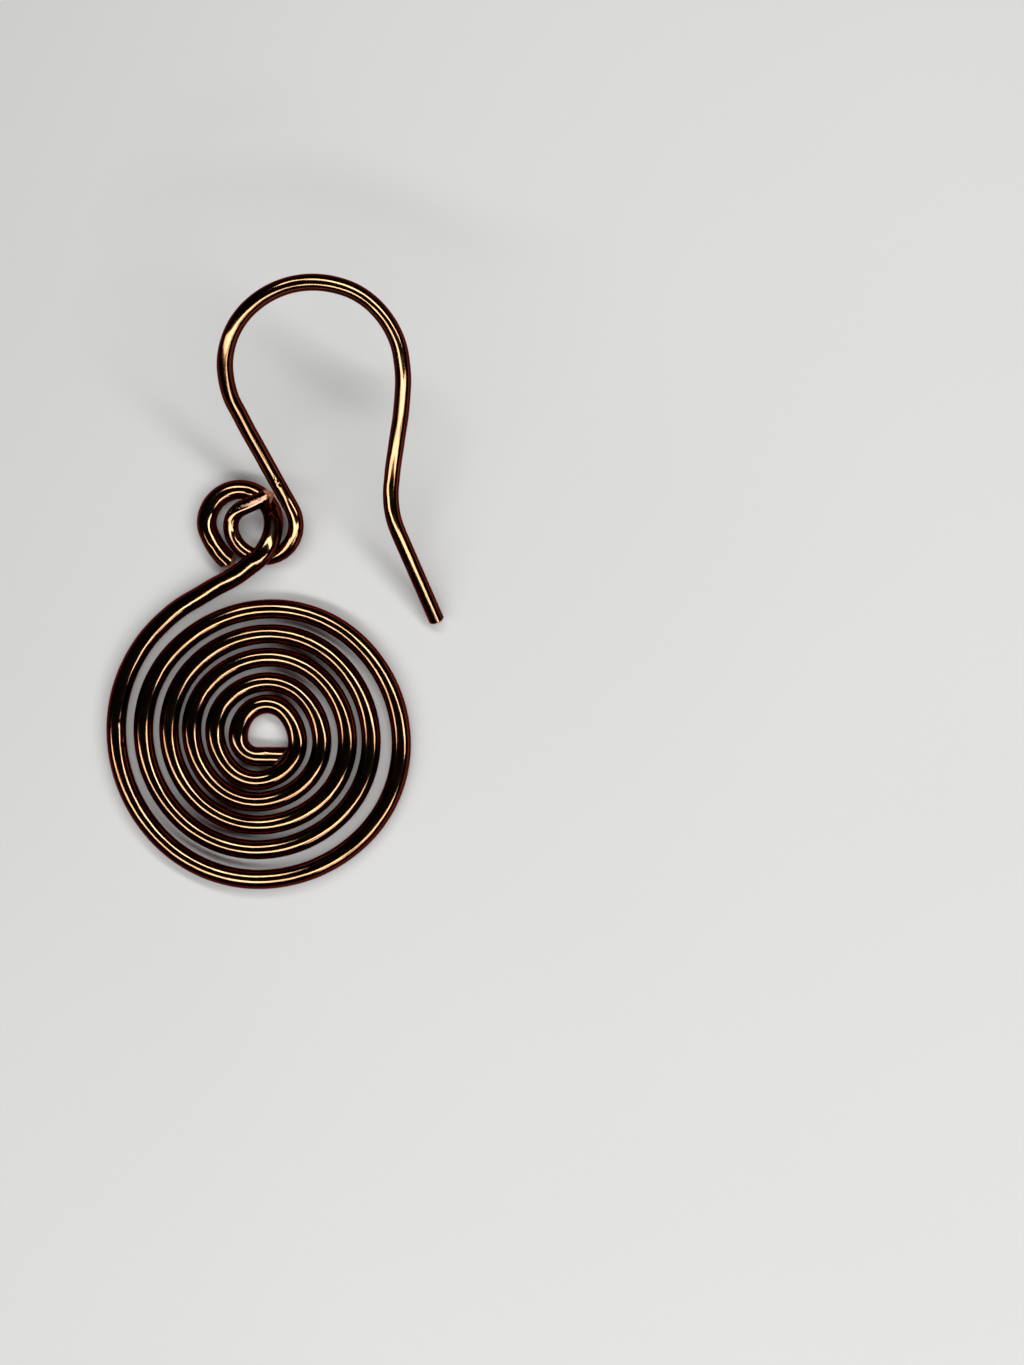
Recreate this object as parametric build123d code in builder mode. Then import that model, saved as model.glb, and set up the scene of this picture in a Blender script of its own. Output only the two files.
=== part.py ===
from build123d import *
import os
from math import cos, radians, sin, sqrt

# A drop earring bent from two lengths of round wire, lying flat on a table.
# The ear wire is a shepherd's hook that ends in a small loop. The pendant is a flat spiral whose outer
# turn runs on into a neck and a second small loop. The two loops are linked through each other.
# +X is across the spiral, +Y is from the spiral towards the hook and +Z is up from the table.
# The pieces are drawn about the middle of the spiral and moved to the finished origin at the end.

os.makedirs("parts", exist_ok=True)

# Wire stock
PENDANT_WIRE = 1.02                 # 18 gauge
EAR_WIRE = 0.81                     # 20 gauge
LYING = PENDANT_WIRE / 2            # height of the pendant's centreline where it lies on the table

# Spiral: radius of its centreline at each quarter turn, clockwise and outwards from its left side
QUARTER_RADII = (
    1.35, 1.70, 1.75, 2.27,
    2.56, 2.87, 3.03, 3.41,
    3.78, 4.16, 4.38, 4.63,
    4.97, 5.39, 5.62, 5.93,
    6.32, 6.69, 7.20, 7.49,
    7.74,
)
INNER_RUN = 0.75                    # full straight section at the very start of the spiral
INNER_RUN_Y = -1.05
INNER_CURL = 1.05                   # radius of the bend that follows it
INNER_CUT_ANGLE = -40.0             # direction that the slanting cut faces
INNER_CUT_DISTANCE = 1.38           # of the cut from the middle of the spiral

# Neck and loop: along the table, up over the ear wire, round and back down onto the table
NECK = (
    (-7.37, 2.77, LYING),
    (-6.31, 4.87, LYING),
    (-4.80, 6.45, 0.54),
    (-2.94, 7.60, 0.75),
    (-1.04, 8.63, 1.22),
    (0.18, 9.69, 1.45),
)
PENDANT_LOOP = (
    (0.58, 10.92, 1.10),
    (0.22, 12.18, 0.59),
    (-0.60, 12.84, LYING),
    (-1.55, 12.94, LYING),
    (-2.55, 12.38, LYING),
    (-3.00, 11.25, 0.52),
    (-2.65, 10.20, 0.56),
    (-1.90, 9.25, 0.62),
)

# Ear wire's loop: it lies in one plane, which rises from a line on the table through the loop's foot.
# Bends are (radius, turn to the left in degrees), in order from the cut end.
HOOK_FOOT = (-0.63, 9.53)           # lowest point of the loop
HOOK_HEADING = -19.3                # of the line on the table
HOOK_SLOPE = 21.5                   # of the plane above the table
EAR_LOOP_END = (-0.09, 3.29)        # last full section, from the foot, in the plane of the loop
EAR_LOOP_HEADING = 223.2
EAR_LOOP_RUN = 1.45
EAR_LOOP_BENDS = ((1.20, 77.0), (1.65, 83.5), (1.88, 111.0))

# Ear wire's hook: up the shank, over the arch, down the front and round to the straight tail
HOOK = (
    (0.97, 13.05, 2.13),
    (0.31, 14.36, 3.02),
    (-0.51, 16.01, 4.22),
    (-1.05, 17.33, 5.18),
    (-1.04, 18.96, 6.16),
    (-0.30, 20.44, 6.89),
    (1.00, 21.52, 7.34),
    (2.62, 22.10, 7.53),
    (4.17, 22.11, 7.49),
    (5.67, 21.62, 7.23),
    (6.71, 20.75, 6.81),
    (7.39, 19.59, 6.29),
    (7.62, 18.29, 5.72),
    (7.52, 16.59, 4.94),
    (7.22, 14.92, 4.17),
    (6.96, 13.40, 3.60),
    (6.86, 12.26, 3.26),
    (6.96, 11.30, 2.96),
    (7.26, 10.39, 2.56),
)
TAIL_TIP = (9.08, 6.07, 0.376)      # end of the straight tail that passes through the ear
TAIL_CHAMFER = 0.08

PINCH_SLOPE = 35.0                  # of each face that side cutters leave, from square across the wire
PINCH_LAND = 0.04                   # full section left between the bend and the pinched faces


def bend_wire(start, direction, steps):
    """Draws a flat centreline: each step is (length, 0) for a run or (radius, turn to the left)."""
    point = start
    for size, turn in steps:
        if turn == 0:
            piece = Line(point, point + direction * size)
        else:
            piece = JernArc(point, direction, size, turn)
        point = piece @ 1
        direction = piece % 1


def smooth_direction(before, point, after):
    """The direction at a point of the circle that runs through it and both its neighbours."""
    back = point - before
    ahead = after - point
    return (back * (ahead.length / back.length) + ahead * (back.length / ahead.length)).normalized()


def double_arc(start, start_direction, end, end_direction):
    """Joins two points by two arcs that meet smoothly and keep the direction at each end."""
    chord = end - start
    both = start_direction + end_direction
    spread = 2 * (1 - start_direction.dot(end_direction))
    reach = (sqrt(chord.dot(both) ** 2 + spread * chord.dot(chord)) - chord.dot(both)) / spread
    middle = (start + start_direction * reach + end - end_direction * reach) * 0.5
    first = TangentArc(start, middle, tangent=start_direction)
    TangentArc(middle, end, tangent=first % 1)


def smooth_wire(points, start_direction, end_direction=None):
    """Draws a centreline of tangent arcs through the points. It ends in one arc if no direction is given."""
    last = points[-1] - points[-2]
    directions = [start_direction]
    for before, point, after in zip(points, points[1:], points[2:]):
        directions.append(smooth_direction(before, point, after))
    directions.append(end_direction or directions[-1].rotate(Axis((0, 0, 0), last), 180))
    for index in range(len(points) - 1):
        double_arc(points[index], directions[index], points[index + 1], directions[index + 1])


def wire_along(path, wire):
    """Makes the round wire that follows a centreline."""
    with BuildSketch(Plane(origin=path @ 0, z_dir=path % 0)) as section:
        Circle(wire / 2)
    sweep(section.sketch, path=path)


def cut_end(end, outward, cuts, wire):
    """Makes what is left of a wire between its last full section and the faces that cut it off."""
    with BuildPart() as tip:
        with BuildSketch(Plane(origin=end, z_dir=outward)):
            Circle(wire / 2)
        extrude(amount=wire)
        for cut in cuts:
            split(bisect_by=cut, keep=Keep.BOTTOM)
    return tip.part


def pinch_cuts(end, outward, ridge, wire):
    """The two faces of a pinched end, which slope up from just past the last full section to a ridge."""
    side = outward.cross(ridge).normalized()
    slope = radians(PINCH_SLOPE)
    cuts = []
    for sign in (-1, 1):
        foot = end + outward * PINCH_LAND + side * (sign * wire / 2)
        cuts.append(Plane(origin=foot, z_dir=outward * cos(slope) + side * (sign * sin(slope))))
    return cuts


def spiral_points():
    """The centreline's points at each quarter turn of the spiral."""
    points = []
    for quarter, radius in enumerate(QUARTER_RADII):
        angle = radians(180 - 90 * quarter)
        points.append(Vector(radius * cos(angle), radius * sin(angle), LYING))
    return points


# Ear wire
heading = radians(HOOK_HEADING)
slope = radians(HOOK_SLOPE)
hook_plane = Plane(
    origin=(HOOK_FOOT[0], HOOK_FOOT[1], EAR_WIRE / 2),
    x_dir=(cos(heading), sin(heading), 0),
    z_dir=(sin(heading) * sin(slope), -cos(heading) * sin(slope), cos(slope)),
)
ear_start = hook_plane.from_local_coords(EAR_LOOP_END)
loop_heading = radians(EAR_LOOP_HEADING)
ear_direction = hook_plane.x_dir * cos(loop_heading) + hook_plane.y_dir * sin(loop_heading)
with BuildLine(hook_plane) as ear_loop:
    bend_wire(ear_start, ear_direction, ((EAR_LOOP_RUN, 0), *EAR_LOOP_BENDS))
loop_line = ear_loop.wire()
hook_points = [loop_line @ 1, *(Vector(*point) for point in HOOK)]
tail_tip = Vector(*TAIL_TIP)
with BuildLine() as ear_path:
    add(loop_line)
    smooth_wire(hook_points, loop_line % 1, (tail_tip - hook_points[-1]).normalized())
    Line(hook_points[-1], tail_tip)
ear_line = ear_path.wire()
ear_cuts = pinch_cuts(ear_start, -ear_direction, hook_plane.z_dir, EAR_WIRE)
ear_tip = cut_end(ear_start, -ear_direction, ear_cuts, EAR_WIRE)
with BuildPart() as ear_wire:
    wire_along(ear_line, EAR_WIRE)
    tail_face = ear_wire.faces().sort_by_distance(ear_line @ 1)[0]
    chamfer(tail_face.edges(), TAIL_CHAMFER)
    add(ear_tip)

# Spiral pendant
turns = spiral_points()
inner_start = Vector(INNER_CURL - QUARTER_RADII[0] + INNER_RUN, INNER_RUN_Y, LYING)
curl_start = inner_start - Vector(INNER_RUN, 0, 0)
with BuildLine() as pendant_path:
    Line(inner_start, curl_start)
    TangentArc(curl_start, turns[0], tangent=(-1, 0, 0))
    smooth_wire([*turns, *(Vector(*point) for point in (*NECK, *PENDANT_LOOP))], Vector(0, 1, 0))
pendant_line = pendant_path.wire()
inner_facing = Vector(cos(radians(INNER_CUT_ANGLE)), sin(radians(INNER_CUT_ANGLE)), 0)
inner_cut = Plane(origin=inner_facing * INNER_CUT_DISTANCE, z_dir=inner_facing)
inner_tip = cut_end(inner_start, Vector(1, 0, 0), [inner_cut], PENDANT_WIRE)
loop_end = pendant_line @ 1
loop_cuts = pinch_cuts(loop_end, pendant_line % 1, Vector(0, 0, 1), PENDANT_WIRE)
loop_tip = cut_end(loop_end, pendant_line % 1, loop_cuts, PENDANT_WIRE)
with BuildPart() as spiral_pendant:
    wire_along(pendant_line, PENDANT_WIRE)
    add(inner_tip)
    add(loop_tip)

# Finished origin: on the table, below the middle of the earring
whole = ear_wire.part.bounding_box().add(spiral_pendant.part.bounding_box())
to_origin = Location((-whole.center().X, -whole.center().Y, -whole.min.Z))
ear_wire.part.move(to_origin)
ear_wire.part.label = "ear_wire"
spiral_pendant.part.move(to_origin)
spiral_pendant.part.label = "spiral_pendant"

export_step(ear_wire.part, "parts/ear_wire.step")
export_step(spiral_pendant.part, "parts/spiral_pendant.step")
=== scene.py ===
from math import atan2, cos, exp, pi, radians, sin, sqrt

import bmesh
import bpy
from mathutils import Matrix, Vector, noise


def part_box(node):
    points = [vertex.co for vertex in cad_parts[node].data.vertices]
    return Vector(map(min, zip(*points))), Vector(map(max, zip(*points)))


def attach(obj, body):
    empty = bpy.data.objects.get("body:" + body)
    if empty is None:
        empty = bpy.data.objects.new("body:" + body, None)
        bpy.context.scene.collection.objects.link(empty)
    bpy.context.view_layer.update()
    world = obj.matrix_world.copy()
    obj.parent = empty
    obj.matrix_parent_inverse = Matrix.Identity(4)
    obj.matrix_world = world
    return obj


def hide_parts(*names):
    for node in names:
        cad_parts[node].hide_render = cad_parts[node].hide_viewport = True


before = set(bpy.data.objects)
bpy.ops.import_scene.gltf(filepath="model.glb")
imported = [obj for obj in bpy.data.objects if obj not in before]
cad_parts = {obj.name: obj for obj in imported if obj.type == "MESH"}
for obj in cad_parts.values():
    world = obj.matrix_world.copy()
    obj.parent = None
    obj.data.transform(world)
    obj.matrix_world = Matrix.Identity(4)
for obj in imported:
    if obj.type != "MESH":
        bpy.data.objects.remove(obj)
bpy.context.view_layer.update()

# A drop earring of dark enamelled copper wire, lying on white paper under strips of soft light.
# Routes are in millimetres about the middle of the spiral, with the CAD model's dimensions. Both wires
# are then moved so that the pendant fills its CAD node's box. Everything in Blender is in metres.

MM = 0.001
scene = bpy.context.scene

# ---------------------------------------------------------------- wire stock and routes, in millimetres
PENDANT_WIRE = 1.02
EAR_WIRE = 0.81
LYING = PENDANT_WIRE / 2

# Spiral: radius of its centreline at each quarter turn, clockwise and outwards from its left side
QUARTER_RADII = (
    1.35, 1.70, 1.75, 2.27,
    2.56, 2.87, 3.03, 3.41,
    3.78, 4.16, 4.38, 4.63,
    4.97, 5.39, 5.62, 5.93,
    6.32, 6.69, 7.20, 7.49,
    7.74,
)
INNER_RUN = 0.75
INNER_RUN_Y = -1.05
INNER_CURL = 1.05
INNER_CUT_ANGLE = -40.0
INNER_CUT_DISTANCE = 1.38

# The pendant's neck and loop
NECK = (
    (-7.37, 2.77, LYING),
    (-6.31, 4.87, LYING),
    (-4.80, 6.45, 0.54),
    (-2.94, 7.60, 0.75),
    (-1.04, 8.63, 1.22),
    (0.18, 9.69, 1.45),
)
PENDANT_LOOP = (
    (0.58, 10.92, 1.10),
    (0.22, 12.18, 0.59),
    (-0.60, 12.84, LYING),
    (-1.55, 12.94, LYING),
    (-2.55, 12.38, LYING),
    (-3.00, 11.25, 0.52),
    (-2.65, 10.20, 0.56),
    (-1.90, 9.25, 0.62),
)

# The ear wire's loop, in a plane that rises from the table, then its hook and its straight tail
HOOK_FOOT = (-0.63, 9.53)
HOOK_HEADING = -19.3
HOOK_SLOPE = 21.5
EAR_LOOP_END = (-0.09, 3.29)
EAR_LOOP_HEADING = 223.2
EAR_LOOP_RUN = 1.45
EAR_LOOP_BENDS = ((1.20, 77.0), (1.65, 83.5), (1.88, 111.0))
HOOK = (
    (0.97, 13.05, 2.13),
    (0.31, 14.36, 3.02),
    (-0.51, 16.01, 4.22),
    (-1.05, 17.33, 5.18),
    (-1.04, 18.96, 6.16),
    (-0.30, 20.44, 6.89),
    (1.00, 21.52, 7.34),
    (2.62, 22.10, 7.53),
    (4.17, 22.11, 7.49),
    (5.67, 21.62, 7.23),
    (6.71, 20.75, 6.81),
    (7.39, 19.59, 6.29),
    (7.62, 18.29, 5.72),
    (7.52, 16.59, 4.94),
    (7.22, 14.92, 4.17),
    (6.96, 13.40, 3.60),
    (6.86, 12.26, 3.26),
    (6.96, 11.30, 2.96),
    (7.26, 10.39, 2.56),
)
TAIL_TIP = (9.08, 6.07, 0.376)
TAIL_CHAMFER = 0.08
PINCH_SLOPE = 35.0
PINCH_LAND = 0.04

SIDES = 36                          # of each wire's section
STEP = 0.10                         # between sections along a wire
BURR = 0.03                         # rounding of a cut end's rim
WORN_DEPTH = 0.09                   # of a dent that bares the copper
WORN_MOST = 0.62                    # share of bare copper in a dent
CUT_RINGS = (0.80, 0.60, 0.40, 0.20, 0.0)
RAGGED = 0.018                      # height of the ragged metal on a cut face
RAGGED_SCALE = 7.0
SAME_POINT = 1e-5
SHARP_EDGE = 38.0                   # degrees, between a cut face and the wire's side

# Tool marks: distance along the wire, angle from its top, and length, width and depth of the dent
EAR_MARKS = (
    (0.10, 10, 0.45, 0.22, 0.055),
    (0.75, 5, 0.40, 0.20, 0.050),
    (1.35, 20, 0.40, 0.17, 0.045),
    (1.95, 40, 0.30, 0.14, 0.035),
    (3.40, -50, 0.12, 0.10, 0.030),
    (9.90, -20, 0.10, 0.08, 0.030),
    (10.70, 25, 0.08, 0.10, 0.035),
    (11.30, -10, 0.10, 0.06, 0.025),
)
PENDANT_MARKS = (
    (0.30, 15, 0.25, 0.15, 0.030),
    (121.40, 40, 0.10, 0.10, 0.025),
    (141.60, 55, 0.12, 0.10, 0.030),
    (142.60, 35, 0.10, 0.08, 0.025),
    (157.60, 20, 0.08, 0.14, 0.040),
    (159.30, -30, 0.08, 0.10, 0.035),
    (164.10, 15, 0.20, 0.12, 0.030),
)


# ---------------------------------------------------------------- centrelines
def arc_points(start, direction, inward, radius, turn):
    """Points along an arc after its start, and the direction at its end. inward points to its centre."""
    count = max(2, int(radius * turn / STEP))
    points = []
    for index in range(1, count + 1):
        angle = turn * index / count
        points.append(start + (direction * sin(angle) + inward * (1 - cos(angle))) * radius)
    return points, direction * cos(turn) + inward * sin(turn)


def run_points(start, direction, length):
    """Points along a straight run after its start."""
    count = max(1, int(length / STEP))
    return [start + direction * (length * index / count) for index in range(1, count + 1)]


def bent_wire(start, direction, up, steps):
    """A flat centreline: each step is (length, 0) for a run or (radius, turn to the left in degrees)."""
    points = [start]
    for size, turn in steps:
        if turn == 0:
            points += run_points(points[-1], direction, size)
        else:
            left = up.cross(direction) * (1 if turn > 0 else -1)
            bend, direction = arc_points(points[-1], direction, left, size, radians(abs(turn)))
            points += bend
    return points, direction


def tangent_arc(start, direction, end):
    """Points along the arc that leaves start in a direction and ends at end, and its last direction."""
    chord = end - start
    half = direction.angle(chord)
    inward = chord - direction * chord.dot(direction)
    if inward.length < 1e-6 * chord.length:
        return run_points(start, direction, chord.length), direction
    return arc_points(start, direction, inward.normalized(), chord.length / (2 * sin(half)), 2 * half)


def double_arc(start, start_direction, end, end_direction):
    """Points along two arcs that meet smoothly and keep the direction at each end."""
    chord = end - start
    both = start_direction + end_direction
    spread = 2 * (1 - start_direction.dot(end_direction))
    reach = (sqrt(chord.dot(both) ** 2 + spread * chord.dot(chord)) - chord.dot(both)) / spread
    middle = (start + start_direction * reach + end - end_direction * reach) * 0.5
    first, direction = tangent_arc(start, start_direction, middle)
    second, direction = tangent_arc(middle, direction, end)
    return first + second


def smooth_direction(before, point, after):
    """The direction at a point of the circle that runs through it and both its neighbours."""
    back = point - before
    ahead = after - point
    return (back * (ahead.length / back.length) + ahead * (back.length / ahead.length)).normalized()


def smooth_wire(knots, start_direction, end_direction=None):
    """A centreline of tangent arcs through the knots. It ends in one arc if no direction is given."""
    directions = [start_direction]
    for before, point, after in zip(knots, knots[1:], knots[2:]):
        directions.append(smooth_direction(before, point, after))
    last = (knots[-1] - knots[-2]).normalized()
    directions.append(end_direction or last * (2 * last.dot(directions[-1])) - directions[-1])
    points = []
    for index in range(len(knots) - 1):
        points += double_arc(knots[index], directions[index], knots[index + 1], directions[index + 1])
    return points


def ear_wire_route():
    """The ear wire's centreline from its loop's cut end to its tail's tip, and the loop's normal."""
    heading = radians(HOOK_HEADING)
    slope = radians(HOOK_SLOPE)
    across = Vector((cos(heading), sin(heading), 0))
    normal = Vector((sin(heading) * sin(slope), -cos(heading) * sin(slope), cos(slope)))
    along = normal.cross(across)
    start = Vector((*HOOK_FOOT, EAR_WIRE / 2)) + across * EAR_LOOP_END[0] + along * EAR_LOOP_END[1]
    loop_heading = radians(EAR_LOOP_HEADING)
    direction = across * cos(loop_heading) + along * sin(loop_heading)
    points, direction = bent_wire(start, direction, normal, ((EAR_LOOP_RUN, 0), *EAR_LOOP_BENDS))
    knots = [points[-1], *(Vector(knot) for knot in HOOK)]
    tail = Vector(TAIL_TIP) - knots[-1]
    points += smooth_wire(knots, direction, tail.normalized())
    points += run_points(knots[-1], tail.normalized(), tail.length)
    return points, normal


def pendant_route():
    """The pendant's centreline from the middle of the spiral to the cut end of its loop."""
    turns = []
    for quarter, radius in enumerate(QUARTER_RADII):
        angle = radians(180 - 90 * quarter)
        turns.append(Vector((radius * cos(angle), radius * sin(angle), LYING)))
    inner_start = Vector((INNER_CURL - QUARTER_RADII[0] + INNER_RUN, INNER_RUN_Y, LYING))
    inwards = Vector((-1, 0, 0))
    points = [inner_start, *run_points(inner_start, inwards, INNER_RUN)]
    curl, direction = tangent_arc(points[-1], inwards, turns[0])
    knots = [*turns, *(Vector(knot) for knot in (*NECK, *PENDANT_LOOP))]
    return points + curl + smooth_wire(knots, Vector((0, 1, 0)))


# ---------------------------------------------------------------- wires
def pinch_cuts(end, outward, ridge, wire):
    """The two faces of a pinched end, each as a point on it and its normal."""
    side = outward.cross(ridge).normalized()
    slope = radians(PINCH_SLOPE)
    cuts = []
    for sign in (-1, 1):
        foot = end + outward * PINCH_LAND + side * (sign * wire / 2)
        cuts.append((foot, outward * cos(slope) + side * (sign * sin(slope))))
    return cuts


def route_box(points, wire):
    """The lowest corner of the round wire that follows a centreline."""
    low = [1e9, 1e9, 1e9]
    for before, point, after in zip(points, points[1:], points[2:]):
        tangent = (after - before).normalized()
        for axis in range(3):
            low[axis] = min(low[axis], point[axis] - wire / 2 * sqrt(1 - tangent[axis] ** 2))
    return Vector(low)


def wire_sections(points, up):
    """For each centreline point its tangent and two directions across the wire, which don't twist."""
    tangents = [(points[1] - points[0]).normalized()]
    for before, after in zip(points, points[2:]):
        tangents.append((after - before).normalized())
    tangents.append((points[-1] - points[-2]).normalized())
    across = (up - tangents[0] * up.dot(tangents[0])).normalized()
    sections = []
    for tangent in tangents:
        across = (across - tangent * across.dot(tangent)).normalized()
        sections.append((tangent, across, tangent.cross(across)))
    return sections


def cut_rings(end, outward, section, cuts, wire, burr):
    """Rings of a cut end, from its rim to its middle: each is its points and how bare each one is."""
    rings = []
    radius = wire / 2
    for place, share in enumerate((1.0, 1 - burr / radius, *CUT_RINGS)):
        ring = []
        for side in range(SIDES):
            angle = 2 * pi * side / SIDES
            offset = (section[1] * cos(angle) + section[2] * sin(angle)) * radius * share
            point = end + offset
            reach = min((foot - point).dot(normal) / outward.dot(normal) for foot, normal in cuts)
            if place == 0:
                reach -= burr
            else:
                reach += RAGGED * noise.noise(point * RAGGED_SCALE)
            ring.append(point + outward * reach)
        rings.append((ring, [0.0 if place == 0 else 1.0] * SIDES))
    return rings


def wire_object(name, points, wire, up, start_cuts, end_cuts, burrs, marks):
    """The round wire along a centreline, with cut ends and worn tool marks."""
    sections = wire_sections(points, up)
    distances = [0.0]
    for before, after in zip(points, points[1:]):
        distances.append(distances[-1] + (after - before).length)
    rings = []
    start_rings = cut_rings(points[0], -sections[0][0], sections[0], start_cuts, wire, burrs[0])
    for ring, bare in reversed(start_rings):
        rings.append((ring, bare, 0.0))
    for point, section, distance in list(zip(points, sections, distances))[1:-1]:
        near = [mark for mark in marks if abs(mark[0] - distance) < 3 * mark[2]]
        ring = []
        worn = []
        for side in range(SIDES):
            angle = 2 * pi * side / SIDES
            dent = 0.0
            for place, around, long, wide, deep in near:
                turn = (angle - radians(around) + pi) % (2 * pi) - pi
                dent += deep * exp(-((distance - place) / long) ** 2 - (turn * wire / 2 / wide) ** 2)
            radius = wire / 2 - dent
            ring.append(point + (section[1] * cos(angle) + section[2] * sin(angle)) * radius)
            worn.append(min(WORN_MOST, dent / WORN_DEPTH))
        rings.append((ring, worn, distance))
    end_rings = cut_rings(points[-1], sections[-1][0], sections[-1], end_cuts, wire, burrs[1])
    for ring, bare in end_rings:
        rings.append((ring, bare, distances[-1]))

    vertices = [point for ring, bare, distance in rings for point in ring]
    faces = []
    for index in range(len(rings) - 1):
        for side in range(SIDES):
            after = (side + 1) % SIDES
            low = index * SIDES
            high = low + SIDES
            faces.append((low + side, low + after, high + after, high + side))
    mesh = bpy.data.meshes.new(name)
    mesh.from_pydata(vertices, [], faces)
    bare = mesh.attributes.new("bare", "FLOAT", "POINT")
    bare.data.foreach_set("value", [share for ring, shares, distance in rings for share in shares])
    layout = mesh.uv_layers.new(name="along_wire")
    corner = 0
    for index in range(len(rings) - 1):
        for side in range(SIDES):
            corners = ((index, side), (index, side + 1), (index + 1, side + 1), (index + 1, side))
            for ring, turn in corners:
                layout.data[corner].uv = (rings[ring][2], turn / SIDES * pi * wire)
                corner += 1
    return mesh


def finished_wire(name, mesh, shift, body, material):
    """Moves a wire into its CAD node's place, closes its ends and makes it a piece of the model."""
    build = bmesh.new()
    build.from_mesh(mesh)
    bmesh.ops.remove_doubles(build, verts=build.verts, dist=SAME_POINT)
    bmesh.ops.recalc_face_normals(build, faces=build.faces)
    build.to_mesh(mesh)
    build.free()
    mesh.transform(Matrix.Scale(MM, 4) @ Matrix.Translation(shift))
    mesh.shade_smooth()
    mesh.set_sharp_from_angle(angle=radians(SHARP_EDGE))
    mesh.materials.append(material)
    piece = bpy.data.objects.new(name, mesh)
    scene.collection.objects.link(piece)
    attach(piece, body)
    return piece


# ---------------------------------------------------------------- materials
def node_maker(material):
    """Clears a node tree and returns a function that adds nodes to it."""
    material.use_nodes = True
    tree = material.node_tree
    tree.nodes.clear()

    def add(kind, inputs=(), **settings):
        node = tree.nodes.new(kind)
        for key, value in settings.items():
            setattr(node, key, value)
        for key, value in dict(inputs).items():
            if isinstance(value, bpy.types.NodeSocket):
                tree.links.new(value, node.inputs[key])
            else:
                node.inputs[key].default_value = value
        return node

    return add


def ramp(add, factor, *stops):
    """A colour ramp with the given (position, colour) stops."""
    node = add("ShaderNodeValToRGB", {"Fac": factor})
    while len(node.color_ramp.elements) < len(stops):
        node.color_ramp.elements.new(0.5)
    for element, (position, colour) in zip(node.color_ramp.elements, stops):
        element.position = position
        element.color = (*colour, 1) if len(colour) == 3 else colour
    return node.outputs["Color"]


def grey(value):
    return (value, value, value)


def enamelled_copper(name):
    """Glossy dark brown enamel over copper, bare where the wire was cut."""
    material = bpy.data.materials.new(name)
    add = node_maker(material)
    place = add("ShaderNodeUVMap", uv_map="along_wire").outputs["UV"]
    body = add("ShaderNodeTexCoord").outputs["Object"]
    facing = add("ShaderNodeLayerWeight", {"Blend": 0.5}).outputs["Facing"]

    # Enamel: golden where it is looked at squarely, a deep red brown at the sides
    enamel = ramp(
        add, facing,
        (0.00, (0.36, 0.215, 0.115)),
        (0.10, (0.31, 0.160, 0.076)),
        (0.24, (0.17, 0.045, 0.016)),
        (0.40, (0.085, 0.010, 0.004)),
    )
    stretch = add("ShaderNodeMapping", {"Vector": place, "Scale": (0.35, 2.2, 1.0)}).outputs["Vector"]
    cloud = add("ShaderNodeTexNoise", {"Vector": stretch, "Scale": 1.3, "Detail": 3.0}).outputs["Fac"]
    shade = ramp(add, cloud, (0.30, grey(0.72)), (0.70, grey(1.15)))
    mix = add("ShaderNodeMixRGB", {"Fac": 1.0, "Color1": enamel, "Color2": shade}, blend_type="MULTIPLY")
    enamel = mix.outputs["Color"]

    # Bare copper at the cuts, with a ragged edge
    bare = add("ShaderNodeAttribute", attribute_name="bare").outputs["Fac"]
    grit = add("ShaderNodeTexNoise", {"Vector": body, "Scale": 9000.0, "Detail": 4.0}).outputs["Fac"]
    edge = add("ShaderNodeMath", {0: grit, 1: -0.5}, operation="ADD").outputs[0]
    ragged = add("ShaderNodeMath", {0: edge, 1: bare}, operation="ADD").outputs[0]
    mask = ramp(add, ragged, (0.42, grey(0)), (0.58, grey(1)))
    copper = ramp(add, grit, (0.35, (0.52, 0.23, 0.15)), (0.65, (0.86, 0.50, 0.38)))
    colour = add("ShaderNodeMixRGB", {"Fac": mask, "Color1": enamel, "Color2": copper}).outputs["Color"]

    smudge = add("ShaderNodeTexNoise", {"Vector": body, "Scale": 900.0, "Detail": 2.0}).outputs["Fac"]
    gloss = ramp(add, smudge, (0.35, grey(0.07)), (0.70, grey(0.12)))
    rough = add("ShaderNodeMixRGB", {"Fac": mask, "Color1": gloss, "Color2": (0.42, 0.42, 0.42, 1)})

    drawn = add("ShaderNodeMapping", {"Vector": place, "Scale": (0.25, 6.0, 1.0)}).outputs["Vector"]
    lines = add("ShaderNodeTexNoise", {"Vector": drawn, "Scale": 2.0, "Detail": 3.0}).outputs["Fac"]
    bump = add("ShaderNodeBump", {"Height": lines, "Strength": 0.35, "Distance": 0.00001})
    pits = add(
        "ShaderNodeBump",
        {"Height": grit, "Strength": 0.06, "Distance": 0.00001, "Normal": bump.outputs["Normal"]},
    )

    shader = add(
        "ShaderNodeBsdfPrincipled",
        {
            "Base Color": colour,
            "Metallic": 1.0,
            "Roughness": rough.outputs["Color"],
            "Normal": pits.outputs["Normal"],
            "Coat Weight": 0.06,
            "Coat Roughness": 0.08,
            "Coat IOR": 1.45,
            "Specular Tint": (0.5, 0.1, 0.05, 1),
        },
    )
    add("ShaderNodeOutputMaterial", {"Surface": shader.outputs["BSDF"]})
    return material


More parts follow.
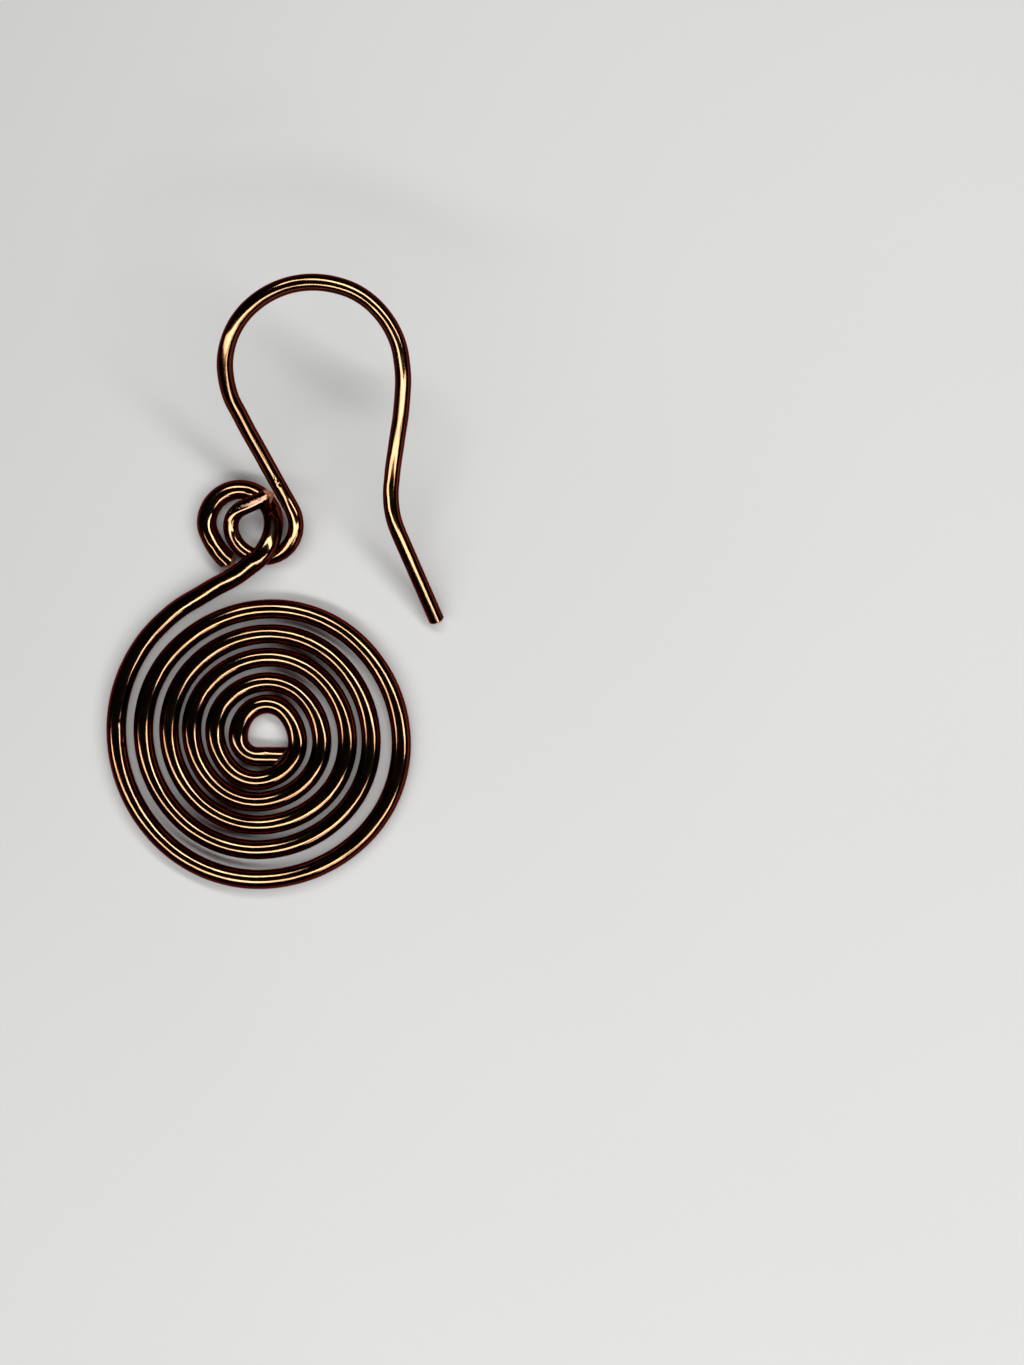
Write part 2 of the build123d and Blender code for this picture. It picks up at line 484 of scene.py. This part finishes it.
def paper():
    """Smooth white paper, with a painted glow that keeps it bright past the reach of the studio lights.
    """
    material = bpy.data.materials.new("paper")
    add = node_maker(material)
    body = add("ShaderNodeTexCoord").outputs["Object"]
    cloud = add("ShaderNodeTexNoise", {"Vector": body, "Scale": 25.0, "Detail": 2.0}).outputs["Fac"]
    colour = ramp(add, cloud, (0.3, (0.715, 0.715, 0.705)), (0.7, (0.735, 0.735, 0.725)))
    grain = add("ShaderNodeTexNoise", {"Vector": body, "Scale": 2500.0, "Detail": 3.0}).outputs["Fac"]
    bump = add("ShaderNodeBump", {"Height": grain, "Strength": 0.12, "Distance": 0.00003})
    # Painted light: the paper glows more the farther it is from the earring, standing in for light the
    # strips don't reach
    distance = add("ShaderNodeVectorMath", {0: body}, operation="LENGTH").outputs["Value"]
    painted_far_glow = ramp(
        add, distance,
        (0.08, grey(0)),
        (0.12, grey(0.17)),
        (0.20, grey(0.52)),
        (0.35, grey(0.68)),
    )
    shader = add(
        "ShaderNodeBsdfPrincipled",
        {
            "Base Color": colour,
            "Roughness": 0.9,
            "Specular IOR Level": 0.1,
            "Normal": bump.outputs["Normal"],
            "Emission Color": painted_far_glow,
            "Emission Strength": 1.0,
        },
    )
    add("ShaderNodeOutputMaterial", {"Surface": shader.outputs["BSDF"]})
    return material


# ---------------------------------------------------------------- the object
bronze = enamelled_copper("enamelled_copper")

pendant_points = pendant_route()
shift = Vector(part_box("spiral_pendant")[0]) / MM - route_box(pendant_points, PENDANT_WIRE)

ear_points, hook_normal = ear_wire_route()
ear_out = (ear_points[0] - ear_points[1]).normalized()
tail_out = (ear_points[-1] - ear_points[-2]).normalized()
ear_mesh = wire_object(
    "ear_hook", ear_points, EAR_WIRE, hook_normal,
    pinch_cuts(ear_points[0], ear_out, hook_normal, EAR_WIRE),
    [(ear_points[-1], tail_out)],
    (BURR, TAIL_CHAMFER),
    EAR_MARKS,
)
ear_hook = finished_wire("ear_hook", ear_mesh, shift, "ear_wire", bronze)
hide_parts("ear_wire")

inner_facing = Vector((cos(radians(INNER_CUT_ANGLE)), sin(radians(INNER_CUT_ANGLE)), 0))
loop_out = (pendant_points[-1] - pendant_points[-2]).normalized()
pendant_mesh = wire_object(
    "spiral", pendant_points, PENDANT_WIRE, Vector((0, 0, 1)),
    [(inner_facing * INNER_CUT_DISTANCE, inner_facing)],
    pinch_cuts(pendant_points[-1], loop_out, Vector((0, 0, 1)), PENDANT_WIRE),
    (BURR, BURR),
    PENDANT_MARKS,
)
spiral = finished_wire("spiral", pendant_mesh, shift, "spiral_pendant", bronze)
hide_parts("spiral_pendant")

# ---------------------------------------------------------------- paper, lights and camera
FLOOR = 3.0                         # metres
bpy.ops.mesh.primitive_plane_add(size=FLOOR, location=(0, 0, 0))
floor = bpy.context.object
floor.name = "paper"
floor.data.materials.append(paper())

# Thin strips of soft light, level with the camera. Two are bent round it and a third, straight one lights
# the shank of the hook. Each is a chain of panels between its corners, in millimetres from the earring's
# middle: (name, radiance, width, corners).
STRIP_HEIGHT = 88.0
STRIPS = (
    ("far", 6.5, 25.0, ((-38, 60), (10, 53), (52, 27), (112, -16))),
    ("near", 5.6, 27.0, ((100, -66), (20, -70), (-28, -56), (-66, -40), (-135, -22))),
    ("low", 5.0, 24.0, ((25, -112), (85, -100))),
)
for strip, radiance, width, corners in STRIPS:
    for number, (start, end) in enumerate(zip(corners, corners[1:])):
        along = Vector(end) - Vector(start)
        light = bpy.data.lights.new(f"{strip}_{number}", "AREA")
        light.shape = "RECTANGLE"
        light.size = along.length * MM
        light.size_y = width * MM
        light.energy = radiance * pi * light.size * light.size_y
        panel = bpy.data.objects.new(light.name, light)
        panel.location = Vector(((start[0] + end[0]) / 2, (start[1] + end[1]) / 2, STRIP_HEIGHT)) * MM
        panel.rotation_euler.z = atan2(along.y, along.x)
        panel.visible_camera = False
        scene.collection.objects.link(panel)

# Pale surroundings where the camera looks past the table, dim ones in what the wire reflects
world = bpy.data.worlds.new("studio")
scene.world = world
add = node_maker(world)
looking = add("ShaderNodeLightPath").outputs["Is Camera Ray"]
pale = add("ShaderNodeBackground", {"Color": (0.70, 0.70, 0.70, 1), "Strength": 1.0})
dim = add("ShaderNodeBackground", {"Color": (0.004, 0.004, 0.004, 1), "Strength": 1.0})
both = add("ShaderNodeMixShader", {0: looking, 1: dim.outputs[0], 2: pale.outputs[0]})
add("ShaderNodeOutputWorld", {"Surface": both.outputs[0]})

# Camera, straight above the table, with its measures in millimetres
CAMERA_HEIGHT = 88.0
CAMERA_PLACE = (13.02, 2.84)        # from the middle of the spiral
VIEW_HEIGHT = 72.07                 # of the table in view
SENSOR = 36.0
camera = bpy.data.cameras.new("camera")
camera.sensor_fit = "VERTICAL"
camera.sensor_height = SENSOR
camera.lens = camera.sensor_height * CAMERA_HEIGHT / VIEW_HEIGHT
camera.clip_start = 0.001
camera.clip_end = 20
viewer = bpy.data.objects.new("camera", camera)
viewer.location = (Vector((*CAMERA_PLACE, CAMERA_HEIGHT)) + Vector((*shift.xy, 0))) * MM
scene.collection.objects.link(viewer)
scene.camera = viewer

scene.view_settings.view_transform = "Standard"     # keeps the paper's whites as they are lit
